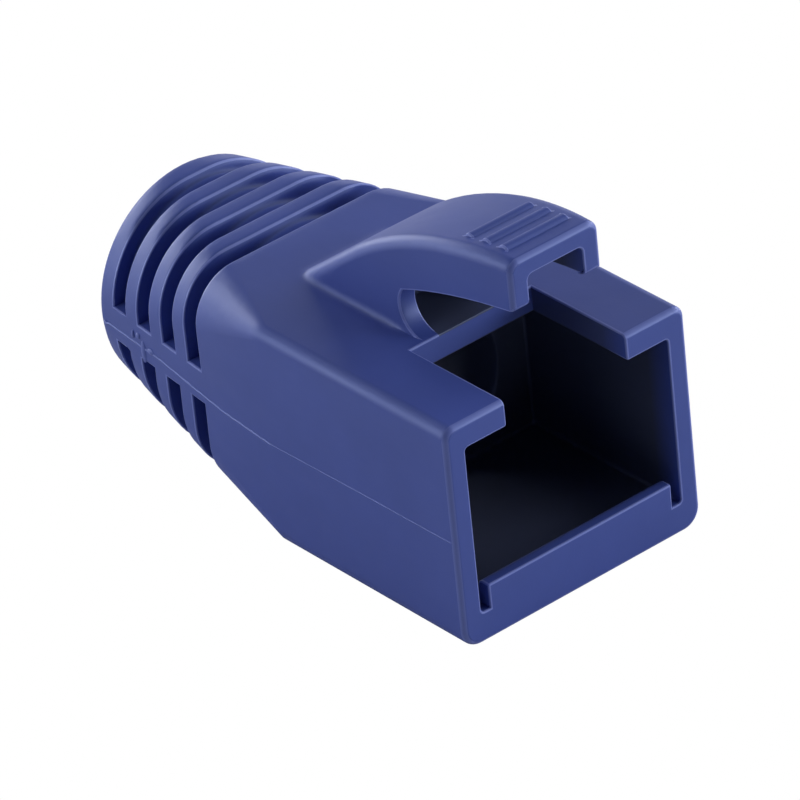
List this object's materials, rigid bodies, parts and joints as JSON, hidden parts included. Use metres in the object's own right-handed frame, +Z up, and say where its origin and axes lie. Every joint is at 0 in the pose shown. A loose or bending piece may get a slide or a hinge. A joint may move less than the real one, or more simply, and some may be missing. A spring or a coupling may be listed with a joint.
{
  "type": "rj45 strain relief boot",
  "caption": "Snag-free strain relief boot for a modular data plug: a plug housing with a latch hood over its roof slot and a grooved round neck for the cable.",
  "frame": {"origin": "middle of the boot's length and width, on its flat underside", "axes": "+Y from the open mouth back along the cable axis, +Z up through the latch hood, +X across"},
  "size_m": [0.0142, 0.0272, 0.0184],
  "materials": {
    "boot_plastic": "satin moulded"
  },
  "bodies": {
    "root": {"boot": "boot_plastic"}
  },
  "joints": []
}
